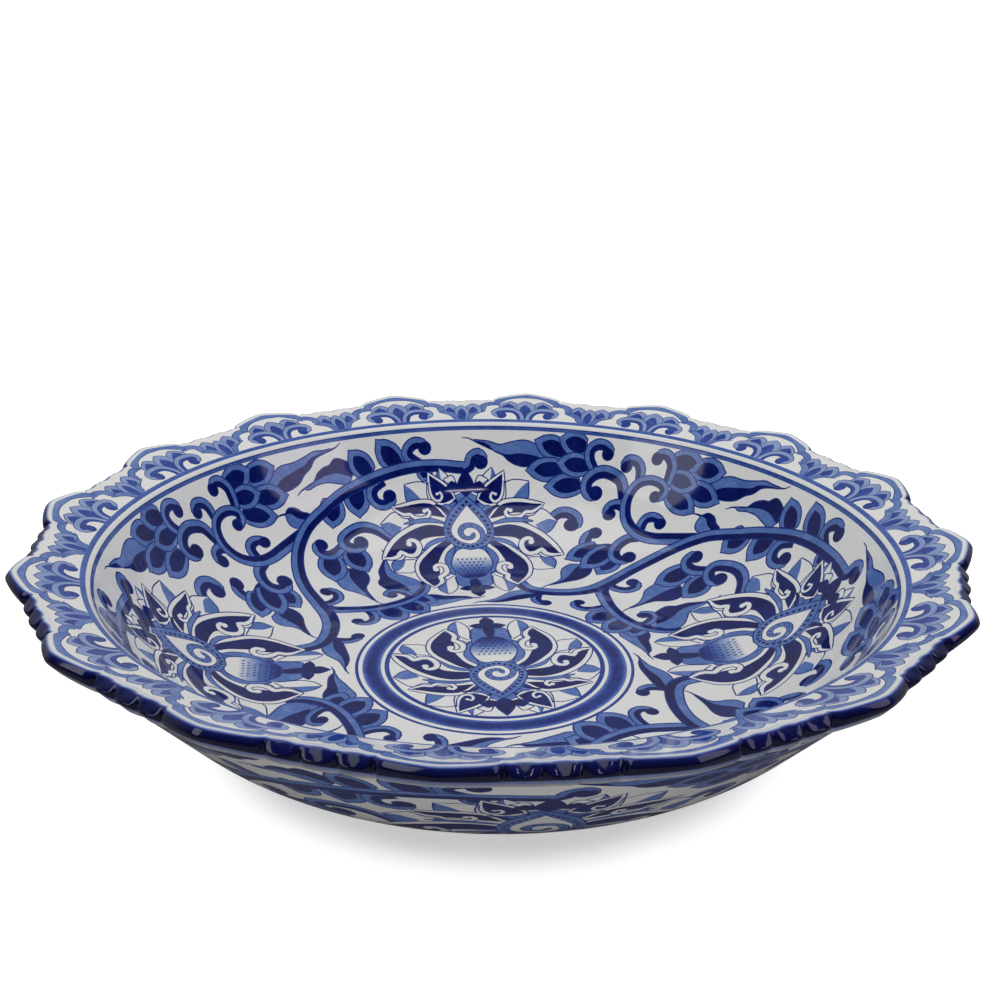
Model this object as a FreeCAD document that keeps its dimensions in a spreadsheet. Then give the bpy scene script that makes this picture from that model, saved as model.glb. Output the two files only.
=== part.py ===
import FreeCAD, Part

import math
import os

import Sketcher

# Porcelain serving bowl, 16-lobed, with a thumb-pressed edge.
# Frame: millimetres, +Z up, origin on the bowl's axis in the plane of the
# foot. +X runs through the middle of one group of thumb presses.

DOC = FreeCAD.newDocument("serving_bowl")
SHEET = "dims"

# Driving dimensions. Heights are above the foot's plane, angles are slopes.
DIMENSIONS = [
    # the whole
    ("sector_count", 16),
    ("rim_z", 86),
    # inside of the well
    ("floor_top", 17.5),
    ("floor_flat_rad", 92),
    ("wall_curve_rad", 80),
    ("wall_slope", 62),
    ("seam_rad", 171.35),
    # outside of the well
    ("floor_under", 9),
    ("belly_rad", 80),
    ("belly_slope", 48),
    ("belly_start_rad", 155.4),
    ("belly_start_z", 36),
    # flange
    ("flange_round", 6),
    ("flange_top_rad", 174.74),
    ("flange_slope", 18.5),
    ("rim_rad", 195),
    ("under_break_rad", 191),
    ("under_slope", 26),
    ("blank_rad", 212),
    # scalloped outline
    ("apex_rad", 203.2),
    ("apex_round", 12),
    ("apex_slope", 9),
    ("lobe_side_rad", 75),
    ("shoulder_rad", 198),
    ("shoulder_half", 19.6),
    ("press_pitch", 12.3),
    ("press_notch_rad", 196.2),
    ("press_bead_rad", 11),
    ("band_group_rad", 189.5),
    ("band_apex_rad", 200.2),
    ("band_half", 17),
    ("press_cut_rad", 8.1),
    ("press_tilt", 48),
    ("press_lip_rad", 192.8),
    ("press_cut_length", 30),
    # foot ring
    ("foot_outer_top", 104),
    ("foot_outer_base", 101.5),
    ("foot_inner_base", 95.5),
    ("foot_inner_top", 91.5),
    ("foot_round", 1.5),
]


def write_sheet():
    """Puts every driving dimension in its own aliased cell."""
    sheet = DOC.addObject("Spreadsheet::Sheet", SHEET)
    for row, (name, value) in enumerate(DIMENSIONS, start=1):
        sheet.set("A%d" % row, name)
        sheet.set("B%d" % row, str(value))
        sheet.setAlias("B%d" % row, name)
    DOC.recompute()
    return sheet


sheet = write_sheet()


def cell(name):
    """The expression that reads one driving dimension."""
    return "%s.%s" % (SHEET, name)


def sine(name):
    return "sin(%s * 1deg)" % cell(name)


def cosine(name):
    return "cos(%s * 1deg)" % cell(name)


def tangent(name):
    return "tan(%s * 1deg)" % cell(name)


def number(expression):
    """What an expression of the sheet comes to."""
    value = sheet.evalExpression(expression)
    return float(getattr(value, "Value", value))


def new_body(label):
    body = DOC.addObject("PartDesign::Body", label)
    body.Label = label
    return body


def origin_feature(body, role):
    """One of the body's own origin planes or axes."""
    for feature in body.Origin.OriginFeatures:
        if feature.Role == role:
            return feature
    raise ValueError(role)


def new_sketch(body, name, plane):
    sketch = body.newObject("Sketcher::SketchObject", name)
    sketch.AttachmentSupport = (origin_feature(body, plane), [""])
    sketch.MapMode = "FlatFace"
    return sketch


def bound(sketch, kind, *where_and_expression):
    """Adds a driving constraint and binds it to an expression."""
    *where, expression = where_and_expression
    index = sketch.addConstraint(Sketcher.Constraint(kind, *where, number(expression)))
    sketch.setExpression("Constraints[%d]" % index, expression)


def arc_between(start, end, radius):
    """A short arc. A positive radius has its centre left of start-to-end."""
    chord = end - start
    left = FreeCAD.Vector(-chord.y, chord.x, 0).normalize()
    reach = math.sqrt(radius**2 - (chord.Length / 2) ** 2)
    centre = (start + end) * 0.5 + left * math.copysign(reach, radius)
    first, last = (start, end) if radius > 0 else (end, start)
    angles = [math.atan2(p.y - centre.y, p.x - centre.x) for p in (first, last)]
    circle = Part.Circle(centre, FreeCAD.Vector(0, 0, 1), abs(radius))
    return Part.ArcOfCircle(circle, angles[0], angles[1])


def closed_outline(sketch, corners, arcs=None):
    """Draws a closed outline through corners, each an (x, y) of expressions.

    arcs maps an edge's number to (+1 or -1, radius expression): edge k runs
    from corner k to the next, and +1 puts the arc's centre on its left.
    """
    arcs = arcs or {}
    places = [FreeCAD.Vector(number(x), number(y), 0) for x, y in corners]
    ends = []
    for k, start in enumerate(places):
        end = places[(k + 1) % len(places)]
        if k not in arcs:
            edge = sketch.addGeometry(Part.LineSegment(start, end))
            ends.append((edge, 1, 2))
            continue
        side, radius = arcs[k]
        edge = sketch.addGeometry(arc_between(start, end, side * number(radius)))
        ends.append((edge, 1, 2) if side > 0 else (edge, 2, 1))
    for k, (edge, first, _) in enumerate(ends):
        before, _, last = ends[k - 1]
        sketch.addConstraint(Sketcher.Constraint("Coincident", before, last, edge, first))
        x, y = corners[k]
        if x == "0":
            sketch.addConstraint(Sketcher.Constraint("PointOnObject", edge, first, -2))
        else:
            bound(sketch, "DistanceX", -1, 1, edge, first, x)
        if y == "0":
            sketch.addConstraint(Sketcher.Constraint("PointOnObject", edge, first, -1))
        else:
            bound(sketch, "DistanceY", -1, 1, edge, first, y)
    for k, (_, radius) in arcs.items():
        bound(sketch, "Radius", ends[k][0], radius)


def revolve(body, sketch, name):
    """Turns a section once round the bowl's axis."""
    turned = body.newObject("PartDesign::Revolution", name)
    turned.Profile = sketch
    turned.ReferenceAxis = (origin_feature(body, "Z_Axis"), [""])
    turned.Angle = 360
    sketch.Visibility = False
    return turned


def cut_through(body, sketch, name, length):
    """A pocket the same length to both sides of its sketch."""
    pocket = body.newObject("PartDesign::Pocket", name)
    pocket.Profile = sketch
    pocket.SideType = "Symmetric"
    pocket.setExpression("Length", length)
    sketch.Visibility = False
    return pocket


def round_the_rim(body, feature, name):
    """Repeats a cut in every sector of the rim and checks that it cuts."""
    DOC.recompute()
    before = body.Shape.Volume
    pattern = body.newObject("PartDesign::PolarPattern", name)
    pattern.Originals = [feature]
    pattern.Axis = (origin_feature(body, "Z_Axis"), [""])
    pattern.Angle = 360
    pattern.setExpression("Occurrences", cell("sector_count"))
    body.Tip = pattern
    DOC.recompute()
    if not body.Shape.Volume < before:
        raise RuntimeError("%s cuts nothing" % name)
    return pattern


# Places that more than one piece shares, as expressions of the sheet.

WALL_END = (
    "%s + %s * %s" % (cell("floor_flat_rad"), cell("wall_curve_rad"), sine("wall_slope")),
    "%s + %s * (1 - %s)" % (cell("floor_top"), cell("wall_curve_rad"), cosine("wall_slope")),
)
SEAM_TOP = (
    cell("seam_rad"),
    "%s + (%s - (%s)) * %s" % (WALL_END[1], cell("seam_rad"), WALL_END[0], tangent("wall_slope")),
)


def belly_z(radius):
    """Height of the straight part of the outside at a radius."""
    return "%s + (%s - %s) * %s" % (
        cell("belly_start_z"), radius, cell("belly_start_rad"), tangent("belly_slope"),
    )


def flange_z(radius):
    """Height of the flange's top at a radius."""
    return "%s + (%s - %s) * %s" % (
        cell("rim_z"), radius, cell("rim_rad"), tangent("flange_slope"),
    )


def under_z(radius):
    """Height of the flange's underside at a radius."""
    return "%s + (%s - %s) * %s" % (
        belly_z(cell("under_break_rad")), radius, cell("under_break_rad"),
        tangent("under_slope"),
    )


# The seam between well and flange is square to the wall and ends on the
# straight part of the outside.
SEAM_RUN = "(%s - (%s)) / (%s + 1 / %s)" % (
    SEAM_TOP[1], belly_z(cell("seam_rad")), tangent("belly_slope"), tangent("wall_slope"),
)
SEAM_UNDER = (
    "%s + %s" % (cell("seam_rad"), SEAM_RUN),
    belly_z("(%s + %s)" % (cell("seam_rad"), SEAM_RUN)),
)
BELLY_START = (cell("belly_start_rad"), cell("belly_start_z"))
BELLY_END = (cell("foot_outer_top"), cell("floor_under"))


def make_bowl_body():
    """The well: a flat floor that curves up into a steep wall."""
    body = new_body("bowl_body")
    section = new_sketch(body, "well_section", "XZ_Plane")
    corners = [
        ("0", cell("floor_under")),
        BELLY_END,
        BELLY_START,
        SEAM_UNDER,
        SEAM_TOP,
        WALL_END,
        (cell("floor_flat_rad"), cell("floor_top")),
        ("0", cell("floor_top")),
    ]
    arcs = {
        1: (1, cell("belly_rad")),
        5: (-1, cell("wall_curve_rad")),
    }
    closed_outline(section, corners, arcs)
    body.Tip = revolve(body, section, "well")
    return body


def make_rim_flange():
    """The wide flange, as far as the cobalt edge band."""
    body = new_body("rim_flange")
    section = new_sketch(body, "flange_section", "XZ_Plane")
    corners = [
        SEAM_UNDER,
        (cell("under_break_rad"), belly_z(cell("under_break_rad"))),
        (cell("blank_rad"), under_z(cell("blank_rad"))),
        (cell("blank_rad"), flange_z(cell("blank_rad"))),
        (cell("flange_top_rad"), flange_z(cell("flange_top_rad"))),
        SEAM_TOP,
    ]
    closed_outline(section, corners, {4: (1, cell("flange_round"))})
    revolve(body, section, "flange_blank")
    trim = new_sketch(body, "band_line", "XY_Plane")
    closed_outline(trim, outside_of(band_corners()))
    cut = cut_through(body, trim, "band_cut", "4 * " + cell("rim_z"))
    round_the_rim(body, cut, "band_cuts")
    return body


HALF_SECTOR = "(180deg / %s)" % cell("sector_count")


def polar_point(radius, angle):
    return "%s * cos(%s)" % (radius, angle), "%s * sin(%s)" % (radius, angle)


def mirrored(points):
    """The same points on the other side of +X, in the order that goes on."""
    return [(x, "-(%s)" % y) for x, y in reversed(points)]


def band_corners():
    """The inner line of the edge band over one sector, from -Y to +Y."""
    half = [
        (cell("band_group_rad"), cell("band_half")),
        polar_point(cell("band_apex_rad"), HALF_SECTOR),
    ]
    return mirrored(half) + half


def rim_corners():
    """The scalloped outline over one sector: half a lobe, three beads, half a lobe."""
    notches = []
    for steps in (0.5, 1.5):
        y = "%s * %s" % (steps, cell("press_pitch"))
        notches.append(("sqrt(%s ^ 2 - (%s) ^ 2)" % (cell("press_notch_rad"), y), y))
    shoulder = ("sqrt(%s ^ 2 - %s ^ 2)" % (cell("shoulder_rad"), cell("shoulder_half")),
                cell("shoulder_half"))
    centre = polar_point("(%s - %s)" % (cell("apex_rad"), cell("apex_round")), HALF_SECTOR)
    turn = "(%s - %s * 1deg)" % (HALF_SECTOR, cell("apex_slope"))
    reach = polar_point(cell("apex_round"), turn)
    side_end = tuple("%s + %s" % pair for pair in zip(centre, reach))
    apex = polar_point(cell("apex_rad"), HALF_SECTOR)
    half = notches + [shoulder, side_end, apex]
    return mirrored(half) + half


def rim_arcs():
    """Which edges of that outline are arcs, with their radii."""
    apex = (1, cell("apex_round"))
    side = (1, cell("lobe_side_rad"))
    bead = (1, cell("press_bead_rad"))
    return {0: apex, 1: side, 3: bead, 4: bead, 5: bead, 7: side, 8: apex}


def outside_of(line):
    """Closes a line over one sector round the outside of the blank."""
    far = polar_point("1.2 * " + cell("blank_rad"), HALF_SECTOR)
    return line + [far] + mirrored([far])


def inside_of(line):
    """Closes a line over one sector round the inside of the band."""
    near = polar_point("0.8 * " + cell("band_group_rad"), HALF_SECTOR)
    return line + [near] + mirrored([near])


def make_rim_edge():
    """The cobalt-glazed edge band with its groups of three thumb presses."""
    body = new_body("rim_edge")
    section = new_sketch(body, "edge_section", "XZ_Plane")
    near = "0.95 * " + cell("band_group_rad")
    corners = [
        (near, belly_z(near)),
        (cell("under_break_rad"), belly_z(cell("under_break_rad"))),
        (cell("blank_rad"), under_z(cell("blank_rad"))),
        (cell("blank_rad"), flange_z(cell("blank_rad"))),
        (near, flange_z(near)),
    ]
    closed_outline(section, corners)
    revolve(body, section, "edge_blank")

    inner = new_sketch(body, "edge_inner_line", "XY_Plane")
    closed_outline(inner, inside_of(band_corners()))
    cut = cut_through(body, inner, "edge_inner_cut", "4 * " + cell("rim_z"))
    round_the_rim(body, cut, "edge_inner_cuts")

    outer = new_sketch(body, "edge_outer_line", "XY_Plane")
    closed_outline(outer, outside_of(rim_corners()), rim_arcs())
    cut = cut_through(body, outer, "edge_outer_cut", "4 * " + cell("rim_z"))
    round_the_rim(body, cut, "edge_outer_cuts")

    round_the_rim(body, thumb_press(body), "thumb_presses")
    return body


def thumb_press(body):
    """Three parallel scoops that slope down and out through the edge."""
    sketch = new_sketch(body, "press_section", "YZ_Plane")
    lip = cell("press_lip_rad")
    sketch.setExpression("AttachmentOffset.Base.y", flange_z(lip))
    sketch.setExpression("AttachmentOffset.Base.z", lip)
    sketch.setExpression("AttachmentOffset.Rotation.Axis.x", "1")
    sketch.setExpression("AttachmentOffset.Rotation.Axis.z", "0")
    sketch.setExpression("AttachmentOffset.Rotation.Angle", "%s * 1deg" % cell("press_tilt"))
    for steps in (-1, 0, 1):
        centre = FreeCAD.Vector(steps * number(cell("press_pitch")), number(cell("press_cut_rad")), 0)
        circle = Part.Circle(centre, FreeCAD.Vector(0, 0, 1), number(cell("press_cut_rad")))
        edge = sketch.addGeometry(circle)
        if steps == 0:
            sketch.addConstraint(Sketcher.Constraint("PointOnObject", edge, 3, -2))
        else:
            bound(sketch, "DistanceX", -1, 1, edge, 3, "%d * %s" % (steps, cell("press_pitch")))
        bound(sketch, "DistanceY", -1, 1, edge, 3, cell("press_cut_rad"))
        bound(sketch, "Radius", edge, cell("press_cut_rad"))
    return cut_through(body, sketch, "press_cut", cell("press_cut_length"))


def make_foot_ring():
    """The turned ring that the bowl stands on."""
    body = new_body("foot_ring")
    section = new_sketch(body, "foot_section", "XZ_Plane")
    corners = [
        (cell("foot_inner_base"), "0"),
        (cell("foot_outer_base"), "0"),
        (cell("foot_outer_top"), cell("floor_under")),
        (cell("foot_inner_top"), cell("floor_under")),
    ]
    closed_outline(section, corners)
    ring = revolve(body, section, "foot")
    DOC.recompute()
    rounded = body.newObject("PartDesign::Fillet", "foot_rounding")
    low_edges = [
        "Edge%d" % k
        for k, edge in enumerate(ring.Shape.Edges, start=1)
        if edge.BoundBox.ZMax < 1e-6
    ]
    rounded.Base = (ring, low_edges)
    rounded.setExpression("Radius", cell("foot_round"))
    body.Tip = rounded
    return body


def check(pieces):
    """Stops on any failed object or bad shape before anything is written."""
    for thing in DOC.Objects:
        bad = [state for state in thing.State if state in ("Invalid", "Error")]
        if bad:
            raise RuntimeError("%s is %s" % (thing.Name, bad))
    for piece in pieces:
        shape = piece.Shape
        if shape.isNull() or not shape.isValid() or len(shape.Solids) != 1:
            raise RuntimeError("%s has a bad shape" % piece.Label)


pieces = [make_bowl_body(), make_rim_flange(), make_rim_edge(), make_foot_ring()]
DOC.recompute()
check(pieces)
os.makedirs("parts", exist_ok=True)
for piece in pieces:
    piece.Shape.exportStep(os.path.join("parts", piece.Label + ".step"))
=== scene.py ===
import math

import bpy
import numpy as np
from mathutils import Matrix, Vector
from mathutils.geometry import delaunay_2d_cdt


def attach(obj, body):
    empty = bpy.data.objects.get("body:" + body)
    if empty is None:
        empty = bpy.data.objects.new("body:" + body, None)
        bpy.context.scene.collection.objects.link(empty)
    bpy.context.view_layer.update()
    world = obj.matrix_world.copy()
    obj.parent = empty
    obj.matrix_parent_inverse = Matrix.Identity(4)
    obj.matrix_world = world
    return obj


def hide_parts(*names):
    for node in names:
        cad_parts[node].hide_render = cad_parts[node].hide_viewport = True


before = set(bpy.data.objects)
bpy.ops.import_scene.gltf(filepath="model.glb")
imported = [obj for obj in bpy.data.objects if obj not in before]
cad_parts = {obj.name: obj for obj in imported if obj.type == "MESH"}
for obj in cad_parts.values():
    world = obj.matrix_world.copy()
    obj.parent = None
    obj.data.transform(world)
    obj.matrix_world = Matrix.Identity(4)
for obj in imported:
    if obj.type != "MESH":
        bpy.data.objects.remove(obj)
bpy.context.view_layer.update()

# Porcelain serving bowl: one fired piece, glazed and painted by hand.
# Lengths are millimetres in the frame of the CAD model, except in the studio at
# the end, and the meshes are made in metres. The well, the flange and the outside
# are modelled over their plan (x, y), with height as a function of radius. The
# edge and the foot are sections carried round the axis. The painting is real
# geometry: outlines cut the surface into areas, and each area carries how much
# cobalt it holds.

MM = 0.001

# how much cobalt an area holds, from bare glaze to a full brush
WHITE = 0.0
LIGHT = 0.42
LINE = 0.72
DARK = 0.92

# ---------------------------------------------------------------- surfaces

# The well: a flat floor, a round wall that gets steeper, and a straight slope.
FLOOR_Z = 17.5
FLOOR_R = 92.0
WALL_CURVE = 80.0
WALL_SLOPE = math.radians(62)
WALL_R = FLOOR_R + WALL_CURVE * math.sin(WALL_SLOPE)

# The flange: from the seam with the well a rounded turn, then a straight slope
# through FLANGE_MARK (radius, height).
SEAM_R = 171.35
FLANGE_TURN = 6.0
FLANGE_R = 174.74
FLANGE_SLOPE = math.radians(18.5)
FLANGE_MARK = (195.0, 86.0)

# The outside: a flat base inside the foot, a round belly about BELLY_CENTRE
# (radius, height), a straight slope, and a flatter part under the rim.
BASE_Z = 9.0
FOOT_R = 104.0
BELLY_CURVE = 80.0
BELLY_CENTRE = (95.03, 88.5)
BELLY_END_R = 155.4
BELLY_END_Z = 36.0
BELLY_SLOPE = math.radians(48)
BREAK_R = 191.0
BREAK_Z = 75.54
UNDER_SLOPE = math.radians(26)

# Radius of the middle of a wall lotus's eye.
LOTUS_R = 133.0


def inside_z(radius):
    """Height of the well's glazed face."""
    out = np.minimum(np.maximum(radius - FLOOR_R, 0), WALL_CURVE * math.sin(WALL_SLOPE))
    curve = FLOOR_Z + WALL_CURVE - np.sqrt(WALL_CURVE**2 - out**2)
    return curve + np.maximum(radius - WALL_R, 0) * math.tan(WALL_SLOPE)


def flange_z(radius):
    """Height of the flange's top, rounded where it meets the well."""
    centre_r = SEAM_R + FLANGE_TURN * math.sin(WALL_SLOPE)
    centre_z = float(inside_z(np.array(SEAM_R))) - FLANGE_TURN * math.cos(WALL_SLOPE)
    rounded = centre_z + np.sqrt(np.maximum(FLANGE_TURN**2 - (radius - centre_r) ** 2, 0.01))
    straight = FLANGE_MARK[1] + (radius - FLANGE_MARK[0]) * math.tan(FLANGE_SLOPE)
    return np.where(radius < FLANGE_R, rounded, straight)


def outside_z(radius):
    """Height of the outside, from the middle of the base to under the rim."""
    across = radius - BELLY_CENTRE[0]
    belly = BELLY_CENTRE[1] - np.sqrt(np.maximum(BELLY_CURVE**2 - across**2, 1))
    straight = BELLY_END_Z + (radius - BELLY_END_R) * math.tan(BELLY_SLOPE)
    under = BREAK_Z + (radius - BREAK_R) * math.tan(UNDER_SLOPE)
    out = np.where(radius < FOOT_R, BASE_Z, belly)
    out = np.where(radius > BELLY_END_R, straight, out)
    return np.where(radius > BREAK_R, under, out)


def slope_of(height, radius, reach=0.4):
    """Rise over run of a height function."""
    low = np.maximum(radius - reach, 0)
    return (height(radius + reach) - height(low)) / (radius + reach - low)


def inside_length(radius):
    """Length along the well's face from its centre."""
    out = np.minimum(np.maximum(radius - FLOOR_R, 0), WALL_CURVE * math.sin(WALL_SLOPE))
    curve = WALL_CURVE * np.arcsin(out / WALL_CURVE)
    straight = np.maximum(radius - WALL_R, 0) / math.cos(WALL_SLOPE)
    return np.minimum(radius, FLOOR_R) + curve + straight


WELL_RADII = np.linspace(0, 176, 2000)
LOTUS_LENGTH = float(inside_length(np.array(LOTUS_R)))


def unrolled(points):
    """Plan points of the well laid flat, lengths from the centre kept."""
    points = np.array(points, float)
    radius = np.hypot(points[..., 0], points[..., 1]) + 1e-9
    return points * (inside_length(radius) / radius)[..., None]


def rolled(points):
    """The way back from the flat drawing to the plan."""
    length = np.hypot(points[..., 0], points[..., 1]) + 1e-9
    radius = np.interp(length, inside_length(WELL_RADII), WELL_RADII)
    return points * (radius / length)[..., None]


OUTSIDE_RADII = np.linspace(FOOT_R, 196, 1500)
OUTSIDE_STEPS = np.hypot(np.diff(OUTSIDE_RADII), np.diff(outside_z(OUTSIDE_RADII)))
OUTSIDE_LENGTHS = np.concatenate([[0.0], np.cumsum(OUTSIDE_STEPS)])
OUTSIDE_LOTUS_LENGTH = 57.0

# ------------------------------------------------------------ rim outline

# One sector runs from the middle of a lobe to the next, with a group of three
# thumb presses in its middle. COLUMNS sections of the edge make one sector.
SECTORS = 16
HALF_SECTOR = math.pi / SECTORS
COLUMNS = 130

# The presses' outline: half the width of one, the radius of its arc, and the
# distance from the axis to the notches between them.
HALF_PRESS = 6.15
PRESS_CURVE = 11.0
NOTCH_R = 196.2

# The lobe's outline: SHOULDER (radius, distance from the group's middle), a long
# side arc, and a tighter arc round LOBE_R up to the apex.
SHOULDER = (198.0, 19.6)
SIDE_CURVE = 75.0
SIDE_TURN = math.radians(9)
LOBE_R = 191.2
LOBE_CURVE = 12.0

# Creases beside the presses, at HALF_PRESS and PRESS_END from the group's middle.
PRESS_END = 18.7
CREASE_DEPTH = 0.9
CREASE_REACH = 1.3

# Each thumb press is a sloping round trough cut into the edge's top.
THUMB_CURVE = 8.1
THUMB_START = 192.8
THUMB_FALL = 0.967
EDGE_TOP_WIDTH = 2.2

# How far the edge band reaches over the flange and under the rim.
TOP_OVERLAP = 2.4
UNDER_OVERLAP = 3.4


def arc_points(start, end, radius, count=24):
    """Points on a short arc whose centre is left of start-to-end."""
    start, end = np.array(start), np.array(end)
    chord = end - start
    half = np.hypot(*chord) / 2
    left = np.array([-chord[1], chord[0]]) / (2 * half)
    centre = (start + end) / 2 + left * math.sqrt(radius**2 - half**2)
    turn = math.asin(half / radius)
    base = math.atan2(*(start - centre)[::-1])
    angles = base + np.linspace(0, 2 * turn, count)
    return centre + radius * np.stack([np.cos(angles), np.sin(angles)], 1)


def half_outline():
    """The scalloped outline from the middle of a thumb group to a lobe's apex."""
    notch = [(math.sqrt(NOTCH_R**2 - y * y), y)
             for y in (-HALF_PRESS, HALF_PRESS, 3 * HALF_PRESS)]
    shoulder = (math.sqrt(SHOULDER[0] ** 2 - SHOULDER[1] ** 2), SHOULDER[1])
    centre = LOBE_R * np.array([math.cos(HALF_SECTOR), math.sin(HALF_SECTOR)])
    turn = HALF_SECTOR - SIDE_TURN
    side_end = centre + LOBE_CURVE * np.array([math.cos(turn), math.sin(turn)])
    apex = centre * (LOBE_R + LOBE_CURVE) / LOBE_R
    return np.concatenate([
        arc_points(notch[0], notch[1], PRESS_CURVE),
        arc_points(notch[1], notch[2], PRESS_CURVE),
        arc_points(shoulder, side_end, SIDE_CURVE),
        arc_points(side_end, apex, LOBE_CURVE),
    ])


OUTLINE = half_outline()
OUTLINE_ANGLES = np.arctan2(OUTLINE[:, 1], OUTLINE[:, 0])
OUTLINE_RADII = np.hypot(OUTLINE[:, 0], OUTLINE[:, 1])
SECTOR_ANGLES = np.linspace(-HALF_SECTOR, HALF_SECTOR, COLUMNS, endpoint=False)
RIM_ANGLES = np.concatenate([SECTOR_ANGLES + 2 * HALF_SECTOR * k for k in range(SECTORS)])


def folded(angle):
    """The angle from the middle of the nearest thumb group, without its sign."""
    step = 2 * HALF_SECTOR
    return np.abs((angle + HALF_SECTOR) % step - HALF_SECTOR)


def edge_radius(angle):
    """Radius of the outline, with the creases beside each thumb press."""
    turn = folded(angle)
    across = 196 * np.sin(turn)
    crease = np.minimum(np.abs(across - HALF_PRESS), np.abs(across - PRESS_END))
    radius = np.interp(turn, OUTLINE_ANGLES, OUTLINE_RADII)
    return radius - CREASE_DEPTH * np.exp(-(crease / CREASE_REACH) ** 2)


def press_radius(angle):
    """Radius at which the thumb presses start to cut the flange's top."""
    turn = folded(angle)
    reach = np.full(np.shape(turn), 190.0)
    for _ in range(4):
        y = reach * np.sin(turn)
        across = np.minimum(np.abs(y), np.abs(y - 2 * HALF_PRESS))
        depth = THUMB_CURVE - np.sqrt(np.maximum(THUMB_CURVE**2 - across**2, 0))
        x = THUMB_START + depth / THUMB_FALL
        reach = x / np.cos(turn)
    return np.where(across < 8.0, reach, 300.0)


def top_line(angle):
    """Radius of the line between white flange and blue edge."""
    return np.minimum(edge_radius(angle) - EDGE_TOP_WIDTH, press_radius(angle))


def eased(values, reach):
    """Rounds a closed row of radii, as the glaze rounds every edge."""
    total = np.zeros(len(values))
    weights = [reach + 1 - abs(k) for k in range(-reach, reach + 1)]
    for k, weight in zip(range(-reach, reach + 1), weights):
        total += weight * np.roll(values, k)
    return total / sum(weights)


EDGE = edge_radius(RIM_ANGLES)
TOP = np.minimum(eased(top_line(RIM_ANGLES), 3), EDGE - 1.6)


def rim_loop(radius):
    """Plan points at a radius given for each of the rim's angles."""
    return np.stack([radius * np.cos(RIM_ANGLES), radius * np.sin(RIM_ANGLES)], 1)


def circle(radius, count):
    """Plan points evenly round a circle."""
    angles = np.arange(count) * 2 * math.pi / count
    return np.stack([radius * np.cos(angles), radius * np.sin(angles)], 1)


TOP_SEAM = rim_loop(TOP - TOP_OVERLAP)
UNDER_SEAM = rim_loop(EDGE - UNDER_OVERLAP)
WELL_SEAM = circle(SEAM_R, 720)

# --------------------------------------------------------------- drawing


def smooth(points, step=1.5):
    """A curve through points, sampled about every step."""
    points = np.array(points, float)
    first = 2 * points[0] - points[1]
    last = 2 * points[-1] - points[-2]
    points = np.vstack([first, points, last])
    pieces = []
    for a, b, c, d in zip(points, points[1:], points[2:], points[3:]):
        count = max(1, int(round(np.hypot(*(c - b)) / step)))
        t = (np.arange(count) / count)[:, None]
        bend = (2 * a - 5 * b + 4 * c - d) * t + (3 * b - a - 3 * c + d) * t * t
        pieces.append(0.5 * (2 * b + (c - a) * t + bend * t))
    return np.vstack(pieces + [points[-2:-1]])


def band(line, widths, low=-0.5, high=0.5):
    """A band along a line; its sides are parts of the width, left positive."""
    along = np.concatenate([[0], np.cumsum(np.hypot(*np.diff(line, axis=0).T))])
    width = np.interp(along / along[-1], np.linspace(0, 1, len(widths)), widths)
    run = np.gradient(line, axis=0)
    run /= np.hypot(run[:, 0], run[:, 1])[:, None] + 1e-9
    left = np.stack([-run[:, 1], run[:, 0]], 1) * width[:, None]
    return np.vstack([line + left * high, (line + left * low)[::-1]])


def grown(outline, by):
    """A closed outline moved outwards."""
    before, after = np.roll(outline, 1, axis=0), np.roll(outline, -1, axis=0)
    area = np.sum(outline[:, 0] * after[:, 1] - outline[:, 1] * after[:, 0])
    run = after - before
    run /= np.hypot(run[:, 0], run[:, 1])[:, None] + 1e-9
    out = np.stack([run[:, 1], -run[:, 0]], 1) * math.copysign(by, area)
    return outline + out


def same_place(points):
    """The placing that moves nothing."""
    return points


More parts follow.
